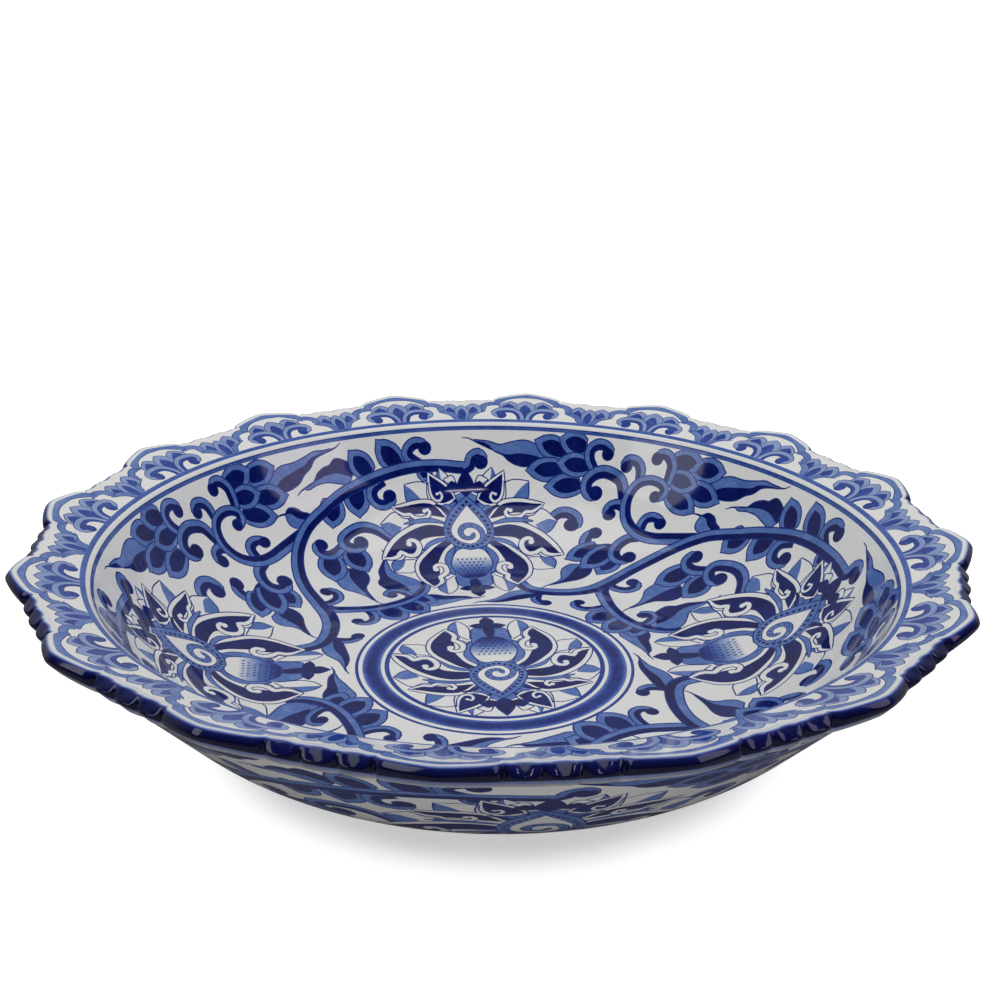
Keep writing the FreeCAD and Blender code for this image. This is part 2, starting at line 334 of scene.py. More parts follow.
class Painting:
    """Areas of cobalt in the order they are painted.

    Motifs are written in plan points. flat lays a plan point on the drawing,
    where strokes keep their width, and plan brings the drawing back.
    """

    def __init__(self, flat=same_place, plan=same_place):
        self.areas = []
        self.flat = flat
        self.plan = plan
        self.move = same_place

    def area(self, outline, tone):
        """Adds an area, drawn on the flat, over those before it."""
        self.areas.append((self.move(self.plan(np.array(outline, float))), tone))

    def between(self, *sides):
        """A closed outline of smooth sides that meet in corners."""
        return np.vstack([smooth(self.flat(np.array(side, float)))[:-1] for side in sides])

    def twofold(self, *sides):
        """A closed outline from the sides of its left half, repeated on the right."""
        right = [[(-x, y) for x, y in side[::-1]] for side in sides[::-1]]
        return self.between(*sides, *right)

    def ribbon(self, path, widths, low=-0.5, high=0.5):
        """A band along a curve through plan points."""
        return band(smooth(self.flat(np.array(path, float))), widths, low, high)

    def outlined(self, outline, tone, line=0.75):
        """An area with a drawn line round it."""
        self.area(grown(outline, line), LINE)
        self.area(outline, tone)

    def stroke(self, path, widths, tone=LINE):
        """One brush stroke along a curve."""
        self.area(self.ribbon(path, widths), tone)

    def dot(self, spot, radius, tone=DARK):
        """A round touch at a place on the drawing."""
        self.area(np.array(spot) + circle(radius, 14), tone)

    def blob(self, centre, radius, tone=DARK):
        """A round touch at a plan point."""
        self.dot(self.flat(np.array(centre, float)), radius, tone)

    def vine(self, path, widths, light=1, line=0.75):
        """A stem that is light on one side (+1 left, -1 right) and dark on the other."""
        self.area(self.ribbon(path, [w + 2 * line for w in widths]), LINE)
        self.area(self.ribbon(path, widths), LIGHT)
        dark = (-0.5, 0.02) if light > 0 else (-0.02, 0.5)
        self.area(self.ribbon(path, widths, *dark), DARK)

    def hook(self, path, width, light=1):
        """A curl that ends in a dark drop."""
        widths = [0.75 * width, width, width, 0.85 * width]
        self.blob(path[-1], 0.62 * width + 0.6, LINE)
        self.vine(path, widths, light)
        self.blob(path[-1], 0.62 * width, DARK)

    def petal(self, base, tip, width, lean=0.0):
        """A leaf scale: light margin, dark heart, small point."""
        base, tip = self.flat(np.array([base, tip], float))
        along = tip - base
        across = np.array([-along[1], along[0]]) / np.hypot(*along) * width
        shape = ((0, 0.32), (0.24, 0.47), (0.52, 0.5), (0.78, 0.33), (0.92, 0.1), (1.0, 0.0))
        heart = ((0, 0.2), (0.24, 0.31), (0.48, 0.32), (0.66, 0.2), (0.78, 0.0))

        def outline(half):
            left = [base + along * t + across * (s + lean * t) for t, s in half]
            right = [base + along * t - across * (s - lean * t) for t, s in half]
            return np.vstack([smooth(left)[:-1], smooth(right[::-1])[:-1]])

        self.outlined(outline(shape), LIGHT)
        self.area(outline(heart), DARK)

    def leaf(self, light_side, dark_side, middle):
        """A pointed leaf, half light and half dark. Both sides run base to tip."""
        before, tip = np.array(middle[-1], float), np.array(dark_side[-1], float)
        run = (tip - before) / np.hypot(*(tip - before))
        side = np.array([-run[1], run[0]])
        self.stroke([before, tip, tip + 3.2 * run + 0.3 * side, tip + 6.5 * run + 1.6 * side],
                    [1.6, 1.6, 1.1, 0.5])
        self.outlined(self.between(light_side, dark_side[::-1]), LIGHT)
        self.area(self.between(middle + [dark_side[-1]], dark_side[::-1]), DARK)


# ----------------------------------------------------------------- motifs


def blade(art, outer, inner, body, body_inner, curl, widths):
    """A lotus petal: white margin, dark body, and a white margin that curls in."""
    art.outlined(art.between(outer, inner[::-1]), WHITE, 0.7)
    art.area(art.between(body, body_inner[::-1]), DARK)
    art.area(art.ribbon(curl, [w + 1.3 for w in widths]), LINE)
    art.blob(curl[-1], 0.75 * widths[-1] + 0.6, LINE)
    art.area(art.ribbon(curl, widths), WHITE)
    art.blob(curl[-1], 0.75 * widths[-1], WHITE)


def lotus_side(art):
    """The petals on the right of a lotus; the left is its mirror image."""
    back = [
        ([(31, 136), (35, 139.2), (41, 139.4), (47.7, 132.4)],
         [(38, 127), (43.6, 128), (47.7, 132.4)], [(36, 133), (43, 134.4)]),
        ([(30.8, 113), (30.5, 107), (33, 102.5), (42, 101.4)],
         [(41, 112), (43.5, 107), (42, 101.4)], [(36, 112), (38, 106)]),
        ([(17, 149), (20, 153), (26, 154), (34, 152.2)],
         [(30, 143), (33, 146.6), (34, 152.2)], [(24, 147), (29.6, 150.6)]),
        ([(8, 152), (9.6, 157), (14.5, 159.5)], [(15, 153), (16.2, 156), (14.5, 159.5)],
         [(11, 153), (13.5, 156)]),
        ([(10.4, 99), (9.8, 87.5), (12, 81.4), (15.4, 78)],
         [(18, 92), (19.6, 86), (18.4, 81.5), (15.4, 78)], [(15, 95), (15.2, 86)]),
        ([(5, 154.5), (7.5, 157.5), (12, 156)], [(5, 151), (9, 152.5), (12, 156)],
         [(5, 153), (8.5, 154.5)]),
    ]
    art.outlined(art.between([(0, 152), (9, 149), (20, 146.5), (33, 139), (33, 128)],
                             [(33, 128), (27, 123), (20, 118), (14, 110), (11, 101), (0, 99)],
                             [(0, 99), (0, 152)]), LIGHT, 0.5)
    for white_side, light_side, middle in back:
        art.outlined(art.between(white_side, light_side[::-1]), WHITE, 0.7)
        art.area(art.between(middle + [light_side[-1]], light_side[::-1]), LIGHT)
    blade(art,
          [(5.6, 148.6), (8, 152.6), (13, 155.4), (21, 157.8)],
          [(5.6, 148.6), (9, 146.4), (13, 145), (18, 145.6), (21, 149.4), (21, 157.8)],
          [(6.4, 149), (8.8, 152), (13.4, 154.6), (20.4, 157)],
          [(6.4, 149), (10.4, 147), (14, 146.4), (17.4, 148.6), (19.4, 152.4), (20.4, 157)],
          [(20.4, 154.6), (19.4, 150.2), (17.2, 147.6), (14.4, 147.4), (13, 149.2),
           (14, 151), (15.8, 150.2)],
          [0.5, 1.1, 1.4, 1.3, 1.1])
    blade(art,
          [(10.8, 140.2), (17, 146.4), (22.3, 147.4), (29.2, 146.4), (35.4, 144.5), (41.5, 142.2)],
          [(11, 136.8), (20, 138), (25, 137.2), (30.8, 138.7), (35, 138.3), (41.5, 142.2)],
          [(11.4, 139.6), (17.3, 145), (22.5, 145.9), (29, 145), (35, 143.4), (40.5, 142.1)],
          [(11.4, 139.6), (19, 140.4), (24, 141), (29, 140.4), (35, 140.6), (40.5, 142.1)],
          [(40.6, 141.6), (35, 139.8), (31.4, 140.3), (28.4, 138.9), (24, 138.9), (21, 140.2),
           (20.2, 142), (21.4, 143.2), (23, 142.4)],
          [0.8, 1.5, 1.8, 2.0, 1.9, 1.6])
    blade(art,
          [(12, 136), (19, 137.5), (25.4, 136.8), (32.3, 133.7), (38.5, 129), (43, 123.7),
           (46.4, 117.5), (48.3, 110.6)],
          [(11.5, 128.4), (22, 125), (25.4, 119.2), (29, 115), (35.6, 115), (38.5, 111.8),
           (48.3, 110.6)],
          [(12, 134.6), (19, 135.8), (24.6, 135), (31, 132), (37, 127.4), (41.4, 122.2),
           (44.6, 116.6), (46.8, 111.8)],
          [(12, 129.8), (21, 128.8), (26.6, 126.2), (30, 118), (36.5, 117.4), (40, 113.6),
           (46.8, 111.8)],
          [(47.2, 111.6), (42.5, 112.4), (39.4, 114.6), (37.8, 117.6), (34.6, 116), (31, 116.2),
           (28.6, 119), (27.6, 122.6), (28.6, 125.4), (31, 126.4), (33.2, 125.4), (33, 123.6)],
          [1.0, 2.2, 2.6, 2.6, 2.7, 2.5, 2.1])
    blade(art,
          [(9.5, 127), (13, 128.6), (18.5, 126), (24, 120.6), (28.8, 114.5), (31, 108.3),
           (30.8, 102), (28.6, 95.5), (21.5, 86)],
          [(8.5, 122), (11.4, 116), (11.6, 108), (13.0, 101), (16, 98.4), (15.2, 94.6),
           (17, 90), (21.5, 86)],
          [(9.6, 125.6), (13, 126.8), (17.8, 124.2), (23, 118.8), (27.2, 113.2), (29.2, 107.8),
           (29, 102), (27, 96.4), (22, 88)],
          [(9.6, 125.6), (14.4, 120.8), (17.2, 115), (18.6, 110), (18, 104), (18.4, 98.6),
           (18.4, 94), (22, 88)],
          [(20.8, 87.4), (18, 91.6), (17.2, 95), (18, 98.4), (15.2, 101.6), (14, 105.4),
           (15.2, 109), (18.2, 110), (20.6, 108), (20, 105.8)],
          [1.0, 2.2, 2.6, 2.8, 2.6, 2.2])
    art.stroke([(9.4, 141.6), (13, 144.4), (17.4, 145.4)], [1.4, 2.8, 1.0], DARK)
    art.stroke([(4.6, 146.6), (6.4, 148.4)], [1.2, 2.2], DARK)
    for strip in ([(8.2, 143.4), (10.6, 145.2), (13, 145)],
                  [(12, 136.8), (20, 138), (28, 137), (35, 135)],
                  [(9.6, 127.8), (16, 127.4), (22, 124.4), (26, 119.6)]):
        art.stroke(strip, [1.6, 3.2, 3.2, 1.2])
        art.stroke(strip, [0.4, 2.1, 2.1, 0.3], LIGHT)
    art.outlined(art.between([(8, 123.6), (12.6, 119), (14.4, 113.4), (13, 109), (12, 104)],
                             [(12, 104), (9.6, 101), (10.6, 108), (11, 113), (8, 123.6)]),
                 LIGHT, 0.6)


def mirrored(move):
    """The same placing with left and right exchanged first."""
    return lambda points: move(points * np.array([-1.0, 1.0]))


def lotus(art, move):
    """A whole lotus, eye near (0, 133) and tip towards +y."""
    for side in (move, mirrored(move)):
        art.move = side
        lotus_side(art)
    for side in (move, mirrored(move)):
        art.move = side
        art.outlined(art.between([(9.5, 105), (5, 101), (2, 95), (1.4, 89.5), (4, 86.2)],
                             [(4, 86.2), (7.6, 87.2), (8.8, 92), (9.5, 105)]), LIGHT, 0.6)
        art.outlined(art.between([(1, 86), (5, 86.8), (9.2, 83.6)],
                             [(9.2, 83.6), (5, 81.4), (1, 82)]), DARK, 0.4)
    art.move = move
    stem = art.twofold([(0, 99), (-2.4, 92), (-2.6, 84), (-3.4, 78.5), (0, 73.5)])
    art.outlined(stem, DARK, 0.3)
    pod = art.twofold([(0, 122), (-7, 120.5), (-10.8, 112), (-9.6, 105), (-5, 98), (0, 96.5)])
    art.outlined(pod, WHITE, 0.7)
    for step in range(11):
        level = 116 - 1.75 * step
        wash = np.stack([pod[:, 0], np.minimum(pod[:, 1], level)], 1)
        art.area(wash, 0.06 + 0.074 * step)
    for row in range(6):
        for place in range(-3, 4):
            x = place * 2.5 + (1.25 if row % 2 else 0)
            y = 114.6 - row * 2.6
            if abs(x) < 9.2 - 0.9 * row:
                art.stroke([(x - 0.2, y), (x + 0.2, y - 1.4)], [1.0, 0.5], DARK)
    eye = [(0, 150), (-7.7, 144), (-12.4, 136), (-12.6, 130), (-7.7, 123.6), (0, 121.4)]
    art.outlined(art.twofold(eye), LIGHT, 0.7)
    inner = [(0, 146), (-5.4, 140), (-9, 134.5), (-8.8, 130.5), (-5.4, 126.8), (0, 125)]
    art.outlined(art.twofold(inner), WHITE, 0.5)
    collar = art.between(
        [(0, 147.6), (-6.4, 141.8), (-10.6, 135.3), (-10.6, 130.4), (-6.4, 125.3)],
        [(-6.4, 125.3), (0, 123.2), (6.4, 125.3)],
        [(6.4, 125.3), (10.6, 130.4), (10.6, 135.3), (6.4, 141.8), (0, 147.6)])
    for spot in collar[::2]:
        art.dot(spot, 0.9, DARK)
    turns = np.radians(np.linspace(-60, 380, 26))
    reach = np.linspace(8.0, 1.6, 26)
    spiral = np.stack([reach * np.cos(turns), 131.3 + 0.85 * reach * np.sin(turns)], 1)
    art.stroke(spiral, [2.6, 3.4, 3.6, 3.4, 2.6], LINE)
    art.stroke(spiral, [1.6, 2.3, 2.5, 2.3, 1.6], LIGHT)
    for spot in art.flat(spiral)[2:-3:2]:
        art.dot(spot, 0.5, DARK)
    crown = art.twofold([(0, 150), (-3.4, 152), (-7, 151.4), (-10.4, 153.4)],
                        [(-10.4, 153.4), (-7.6, 155.6), (-4.6, 154.8), (-3, 157), (0, 160)])
    art.outlined(crown, DARK, 0.5)


def first_cluster(art):
    """Leaf scales beside the lotus tip, high on the wall."""
    art.leaf([(49, 176), (43.4, 183), (36.7, 186), (28.9, 186), (22, 185.4), (15, 188), (5, 189.6)],
             [(51, 171.6), (38.9, 170.8), (32, 172.2), (26.8, 175.6), (23.6, 179.4),
              (18.6, 182.4), (13.6, 187.2), (5, 189.6)],
             [(50, 172.2), (41.5, 176.6), (33.3, 179), (24, 180)])
    art.petal((62.5, 173.5), (44.2, 185), 13.0)
    art.petal((57.5, 166), (35.8, 168.6), 13.0)
    art.petal((75.5, 172.5), (59.6, 182.6), 13.0)
    art.petal((67, 154.5), (44.8, 157.6), 13.0)
    art.petal((74, 162.5), (55, 170), 12.5)
    art.hook([(77, 158), (75.4, 166), (77.6, 170.8), (82.5, 172), (87, 169.6), (88.8, 166),
              (87, 164.6)], 5.4, 1)
    art.hook([(87.4, 134), (90, 145.5), (87.8, 151.2), (82.4, 156), (76, 157), (70.6, 154.4),
              (69, 149.4), (71.2, 145.8), (73.6, 146.4)], 6.2, -1)


def second_cluster(art):
    """Leaf scales outside the loop."""
    art.leaf([(137.8, 116.7), (144.4, 116.1), (150.6, 112.6), (156.7, 104.6), (162.4, 98.8),
              (167, 94.2), (169.6, 88.8), (172.8, 82.8)],
             [(136, 112), (139.6, 106), (146.7, 100), (153.3, 97.6), (158, 94.8),
              (163.4, 93.2), (167.6, 89.4), (172.8, 82.8)],
             [(138, 113), (145, 110), (152, 104), (158, 98.4), (164, 94.6)])
    art.petal((134, 131), (149.2, 116.6), 13.0)
    art.petal((126, 123.5), (138, 104.6), 13.0)
    art.petal((122, 142), (140, 131), 14.0)
    art.petal((114, 127.5), (123, 107.8), 13.0)
    art.petal((118.6, 134.4), (131, 121), 12.0)
    art.hook([(113, 131), (118.4, 136), (122, 141), (121.6, 147), (118, 150), (114.8, 148.8)],
             5.4, -1)


def third_cluster(art):
    """Leaf scales between the lotus and the main vine."""
    art.hook([(76, 103.6), (71.6, 107.6), (66, 109), (61.6, 111.6), (60, 115.6), (62.4, 119.4),
              (66, 119.6)], 5.6, 1)
    art.leaf([(50.4, 102.2), (46.6, 99.8), (45.2, 96), (45, 91.5), (42.5, 87.5), (36.9, 83.7)],
             [(60.8, 99.8), (60.8, 94.5), (58.5, 90.6), (53.8, 88), (46.2, 86.6), (36.9, 83.7)],
             [(59.2, 100.2), (53.8, 99), (50, 94.5), (46.5, 90)])
    art.petal((67, 110.4), (48.6, 107), 12.5)
    art.petal((74.6, 101), (63.4, 89.6), 12.5)
    art.petal((73, 107), (55, 97.4), 13.5)
    art.hook([(88.4, 107), (82.6, 109.2), (77.2, 108), (74, 104.4), (74.2, 99.6), (77.6, 96.4),
              (81, 97.4)], 5.8, -1)


def fourth_cluster(art):
    """Leaf scales under the main vine."""
    art.leaf([(101, 70.8), (91, 72.6), (84.4, 69), (82, 63.2), (78.6, 57.6), (73, 53)],
             [(103, 60), (98, 57), (93.3, 56.6), (86.7, 58.2), (80, 56.2), (73, 53)],
             [(102, 66.7), (94.4, 65.8), (87.8, 62.4), (81, 58)])
    art.petal((109, 76), (89.6, 73.4), 14.0)
    art.petal((116.4, 66), (100.8, 56.4), 14.0)
    art.hook([(119, 69), (111.6, 73.2), (108.4, 77.6), (109, 82), (112.6, 83.8), (114.6, 81.8)],
             5.4, 1)
    art.hook([(126, 42), (131.2, 51), (131.8, 59), (128.4, 65.4), (122.6, 69.8), (118, 68.4),
              (116.8, 62.8), (119.4, 59.2), (121.4, 60)], 6.0, -1)


def fifth_cluster(art):
    """Leaf scales beside the medallion."""
    art.leaf([(63.6, 27), (63.8, 23.3), (65.8, 19), (68, 14), (70.5, 9), (72, 3.6)],
             [(77.7, 28), (76.8, 22), (75, 17.6), (74.6, 12), (74, 7.5), (72, 3.6)],
             [(72.4, 29), (71, 22.6), (71, 17), (72, 10)])
    art.petal((64, 49), (49.6, 39), 13.5)
    art.petal((75, 38), (68.4, 22), 12.5)
    art.petal((70, 40), (56.4, 27.4), 13.5)
    art.leaf([(80, 33), (90, 28.8), (95.3, 32), (98.4, 38), (101.4, 43.6), (111, 47)],
             [(84.5, 46), (91, 51), (96, 50), (101, 50.6), (105, 49.4), (111, 47)],
             [(83, 34.5), (88, 37), (93, 41), (97, 45.8), (103, 47.6)])
    art.hook([(75, 34), (80, 37), (83, 41.5), (82.5, 46), (79.4, 46.8), (78.3, 44.5)], 4.0, -1)
    art.hook([(63, 58), (60, 55.5), (55.5, 53.7), (50.4, 53.8), (47.2, 57), (47.6, 60.6), (49.6, 61.6)],
             4.0, 1)


def vine_end(art):
    """The scales and the long leaf along the end of the main vine."""
    art.leaf([(156, 70), (155, 77.8), (153.9, 83.3), (150.6, 89), (146.4, 93.2), (145.6, 95.8)],
             [(166.7, 66), (168.4, 75.6), (167.4, 80.6), (163, 83), (161, 86), (156.4, 89.4),
              (150.6, 91), (145.6, 95.8)],
             [(160.6, 69), (160.6, 76.7), (158.3, 82.4), (154, 88)])
    art.petal((146, 79), (127.8, 76.6), 14.0)
    art.petal((158, 66.5), (137.4, 61.6), 15.0)
    art.petal((164.5, 57), (174.8, 72.6), 14.0)
    art.petal((172, 39.5), (184.8, 56.2), 14.5)
    art.hook([(163, 49), (157.4, 55), (152, 55.2), (148.4, 51.4), (149, 46.4), (152.4, 43.4),
              (154.4, 44.8)], 5.8, -1)
    art.hook([(174.6, 27), (178.4, 35), (183, 35.4), (186.6, 31.6), (186.8, 27), (184.4, 25)],
             6.0, 1)
    art.petal((173, 24), (164.8, 25), 8.5)
    art.hook([(172, 3), (175, -2.4), (179.4, -4), (181.4, -8), (179, -10.6), (176.8, -9.6)],
             6.2, 1)


def floor_buds(art):
    """Buds and curls that sit on the vines, low in the well."""
    art.hook([(68.5, 78), (70, 74.5), (74.5, 71.5), (79.3, 72.4), (80.8, 75.5), (79.3, 77.6)], 4.4, -1)
    art.hook([(32, 76), (29.4, 70), (28.8, 65.5), (30.8, 62), (33, 61.8)], 4.4, -1)
    art.leaf([(35, 73), (29, 76.4), (22.5, 78), (16.6, 76.6), (12, 73), (8, 69.6), (1.5, 67.2)],
             [(35, 73), (27, 69.4), (19, 67.4), (11, 65.8), (6, 66), (1.5, 67.2)],
             [(35, 73), (28, 73.4), (20, 72.4), (13, 69.2), (7, 67.6)])


def wall_buds(art):
    """Buds and curls round the loop, high in the well."""
    art.hook([(46, 137.6), (51, 140.4), (56.4, 139.4), (59.6, 135.4), (59, 131), (56.4, 131.2)],
             6.2, 1)
    art.hook([(99, 140), (103.2, 148), (102.6, 153), (98.8, 156.2), (95.6, 155.6), (95.6, 153.4)],
             5.2, -1)
    art.hook([(88, 128), (84.6, 134.4), (80, 135.6), (77, 133.2), (77.6, 131)], 5.2, -1)
    art.hook([(90, 108), (92.4, 115), (96.4, 118.6), (101, 117.8), (103.8, 114.4), (103.6, 112)],
             5.0, 1)
    art.leaf([(122.6, 92), (120.2, 97.8), (121.8, 101.4), (126, 103.8)],
             [(133, 89), (131.4, 94.6), (132, 98.8), (130, 102.8), (126, 103.8)],
             [(128, 91), (126.8, 97), (127.6, 101)])


def vines(art):
    """One quarter of the running vine, from one lotus round to the next.

    The floor's part is written in plan points, the wall's on the flat.
    """
    floor_buds(art)
    third_cluster(art)
    fifth_cluster(art)
    art.flat = same_place
    for part in (first_cluster, second_cluster, fourth_cluster, vine_end, wall_buds):
        part(art)
    art.vine([(65, 79), (63, 72), (63, 62), (64, 54), (66.5, 46.5), (70, 39.5), (75, 33),
              (81, 28.4), (88, 26.3), (94, 27.4)], [5.4, 5.6, 5.4, 5.2, 4.6, 3.2], -1)
    art.vine([(118, 92.5), (105, 100.5), (96, 106), (90, 112), (86.6, 119), (86, 126),
              (88.6, 133.5), (94, 139), (100.5, 141), (107, 139), (111.6, 134.4),
              (112.4, 129.8), (108.8, 127.4), (106, 128.4)],
             [6.2, 6, 5.8, 5.4, 5.2, 4.8, 4.6, 4.6], 1)
    art.blob((105.6, 128.8), 3.6, LINE)
    art.blob((105.6, 128.8), 2.9, DARK)
    art.vine([(22, 90.5), (25, 82), (30, 77.5), (38, 74.8), (48, 74), (58, 76), (68, 81),
              (80, 87.8), (90, 91.4), (101, 93.2), (111, 93.2), (121.6, 91.4), (129.4, 88.3),
              (136.7, 83.6), (143.9, 78.3), (150.6, 72.2), (156, 65.6), (161.7, 57.8),
              (166.6, 49.5), (170.6, 40), (173, 31), (174.2, 22.2), (174.7, 13.3), (173.9, 1)],
             [6, 7.2, 7, 6, 5.6, 5.6, 5.8, 6, 6, 6.2, 6.2], 1)
    art.flat = unrolled


def turned(quarter, base=same_place):
    """A placing turned by whole quarters."""
    c, s = ((1, 0), (0, 1), (-1, 0), (0, -1))[quarter % 4]
    turn = np.array([[c, s], [-s, c]])
    return lambda points: base(points @ turn)


def hand(points, amount=0.55):
    """The small waver of a hand-drawn line, none at the well's edge."""
    x, y = points[:, 0], points[:, 1]
    radius = np.hypot(x, y)
    calm = np.clip((168 - radius) / 20, 0, 1) * amount
    dx = np.sin(x / 23 + y / 31 + 1.0) + 0.6 * np.sin(y / 9 - x / 14)
    dy = np.cos(x / 27 - y / 19 + 2.0) + 0.6 * np.sin(x / 8 + y / 15)
    return points + np.stack([dx, dy], 1) * calm[:, None]


def medallion_place(points):
    """Turns the wall lotus into the one on the floor, slightly smaller."""
    along = inside_length(points[:, 1]) - LOTUS_LENGTH
    return np.stack([0.4 + 0.975 * points[:, 0], -10.6 - 0.96 * along], 1)


def ring(art, inner, outer, tone, count=360):
    """A painted line round the axis."""
    art.area(np.vstack([circle(outer, count), circle(outer, count)[:1],
                        circle(inner, count)[:1], circle(inner, count)[::-1]]), tone)


def well_painting():
    """Vines, four lotuses, the medallion with its rings, and the inner line."""
    art = Painting(unrolled, rolled)
    for quarter in range(4):
        art.move = turned(quarter, hand)
        vines(art)
    for quarter in range(4):
        lotus(art, turned(quarter, hand))
    art.move = same_place
    art.flat = art.plan = same_place
    for inner, outer, tone in ((62.0, 63.5, 0.62), (51.8, 60.2, 0.4), (52.4, 59.6, 0.52),
                               (53.2, 58.8, 0.64), (54.2, 57.8, 0.76)):
        ring(art, inner, outer, tone)
    art.flat, art.plan = unrolled, rolled
    lotus(art, lambda points: hand(medallion_place(points), 0.4))
    art.move = art.flat = art.plan = same_place
    ring(art, 48.0, 50.2, 0.64)
    ring(art, 170.5, SEAM_R, 0.54, 720)
    return art


def flange_place(lobe):
    """A placing that turns plan points from the x axis to the middle of a lobe."""
    turn = HALF_SECTOR * (2 * lobe + 1)
    c, s = math.cos(turn), math.sin(turn)
    waver = 0.25 * math.sin(lobe * 2.4)
    return lambda points: (points + np.array([waver * 0.5, waver])) @ np.array([[c, s], [-s, c]])


def polar(*places, side=1):
    """Plan points from (degrees, radius) pairs, left and right exchanged at side -1."""
    angles = side * np.radians([p[0] for p in places])
    radii = np.array([p[1] for p in places])
    return list(np.stack([radii * np.cos(angles), radii * np.sin(angles)], 1))


# Cobalt amounts of the flange painting. Its wash and its dark are set paler than the well's: painted
# sheen, the grey veil of light on the flange's glaze, is put into them.
FLANGE_LIGHT_WITH_SHEEN = 0.3
FLANGE_DARK_WITH_SHEEN = 0.62
FLANGE_LINE = 0.74
ARCH_SCALE = 0.994


def flange_leaf(art, left, right, heart_left, heart_right):
    """A pale leaf with a dark heart. Every side runs from base to tip."""
    art.area(grown(art.between(left, right[::-1]), 0.42), FLANGE_LINE)
    art.area(art.between(left, right[::-1]), FLANGE_LIGHT_WITH_SHEEN)
    art.area(art.between(heart_left, heart_right[::-1]), FLANGE_DARK_WITH_SHEEN)


def arch_band(art, outer, inner):
    """A part of the cusped arch, drawn slightly inside the given sides."""
    shape = art.between(np.array(outer) * ARCH_SCALE, np.array(inner[::-1]) * ARCH_SCALE)
    art.area(grown(shape, 0.4), FLANGE_LINE)
    art.area(shape, FLANGE_LIGHT_WITH_SHEEN + 0.1)


def flange_lobe(art):
    """One lobe of the flange: a palmette under a cusped arch."""
    for side in (1, -1):
        flange_leaf(art,
                    polar((4.2, 182), (4.6, 187), (3.8, 190), (2.7, 191.8), side=side),
                    polar((1.6, 182), (1.4, 187), (1.7, 190), (2.7, 191.8), side=side),
                    polar((3.9, 184), (4.1, 187.2), (3.0, 190), side=side),
                    polar((2.0, 184), (2.0, 187.2), (3.0, 190), side=side))
    flange_leaf(art,
                polar((-0.9, 175), (-1.6, 183), (-1.6, 187.6), (-0.9, 190.4), (0.2, 192.2)),
                polar((0.9, 175), (1.6, 183), (1.6, 187.4), (1.1, 190.2), (0.2, 192.2)),
                polar((-0.6, 175), (-1.0, 183), (-0.6, 186.8), (0.1, 189)),
                polar((0.6, 175), (1.0, 183), (0.8, 186.8), (0.1, 189)))
    widths = [3.4, 3.6, 4.0, 4.2, 3.8, 3.6]
    for side in (1, -1):
        apart = 0.0 if side > 0 else 0.1
        curl = polar((0.6 + apart, 174), (0.75 + apart, 178), (1.3 + apart, 181.5),
                     (2.2 + apart, 183.6), (3.4, 184), (4.7, 183.4), (5.4, 181.6), (5, 179.7),
                     (4.2, 179.2), side=side)
        art.blob(curl[-1], 3.0, FLANGE_LINE)
        art.area(art.ribbon(curl, [w + 0.9 for w in widths]), FLANGE_LINE)
        art.area(art.ribbon(curl, widths), FLANGE_LIGHT_WITH_SHEEN)
        dark = (0.05, 0.5) if side > 0 else (-0.5, -0.05)
        art.area(art.ribbon(curl, widths, *dark), FLANGE_DARK_WITH_SHEEN)
        art.blob(curl[-1], 2.4, FLANGE_DARK_WITH_SHEEN)
        arch_band(art,
                  polar((10.9, 175.4), (10.5, 178), (9.9, 182), (9.0, 184), (7.7, 185.3), side=side),
                  polar((9.6, 175.4), (9.5, 177.6), (9.1, 180.2), (8.2, 182.2), (6.9, 184), side=side))
        arch_band(art,
                  polar((7.9, 183.6), (8.1, 187.5), (7.6, 190), (6.6, 191.7), (5.3, 192.5), side=side),
                  polar((6.9, 184), (7.0, 187.6), (6.3, 189.2), (5.2, 189.6), (4.5, 189.2), side=side))
    arch_band(art,
              polar((5.5, 191), (5.2, 194.5), (4.8, 196.7), (3.5, 199.2), (2, 200.5), (0.5, 201.1),
                    (-0.7, 200.9), (-2.5, 199.6), (-4.1, 197.1), (-5.2, 194.2), (-5.8, 191.6)),
              polar((4.6, 189), (4.4, 191.4), (3.7, 193.9), (2.5, 195.8), (0.6, 196.9),
                    (-1.1, 196.6), (-2.5, 195.8), (-3.7, 193.6), (-4.8, 191), (-5.4, 188.6)))


def flange_sprout(art):
    """The three leaves between two arches, over a thumb group."""
    for side in (1, -1):
        flange_leaf(art,
                    polar((0.9, 181), (0.8, 185.4), (1.2, 188), (2.1, 189.6), side=side),
                    polar((3.4, 180), (3.5, 184.6), (3.1, 187.6), (2.1, 189.6), side=side),
                    polar((1.4, 180.5), (1.4, 184.2), (2.1, 187), side=side),
                    polar((2.9, 180.5), (2.8, 184.2), (2.1, 187), side=side))
    leaf = ((0.5, 174), (1.2, 180.6), (1.15, 184.2), (0.7, 186.6), (0, 188.2))
    heart = ((0.4, 174), (0.75, 180), (0.5, 183.4), (0, 185.4))
    flange_leaf(art, polar(*leaf), polar(*leaf, side=-1), polar(*heart), polar(*heart, side=-1))


def flange_painting():
    """Sprouts and lobes all round, and the two lines beside the well."""
    art = Painting()
    for lobe in range(SECTORS):
        art.move = flange_place(lobe - 0.5)
        flange_sprout(art)
        art.move = flange_place(lobe)
        flange_lobe(art)
    art.move = same_place
    ring(art, SEAM_R, 171.65, 0.54, 720)
    ring(art, 173.3, 175.6, 0.46, 720)
    ring(art, 173.6, 175.2, 0.52, 720)
    return art


def outside_place(points):
    """From the well's plan to the outside: mirrored, with the well's edge at the rim.

    Lengths up the wall are kept.
    """
    radius = np.hypot(points[:, 0], points[:, 1])
    angle = -np.arctan2(points[:, 1], points[:, 0])
    along = OUTSIDE_LOTUS_LENGTH + inside_length(radius) - LOTUS_LENGTH
    reach = np.interp(along, OUTSIDE_LENGTHS, OUTSIDE_RADII)
    reach = reach + np.minimum(along, 0)
    return np.stack([reach * np.cos(angle), reach * np.sin(angle)], 1)


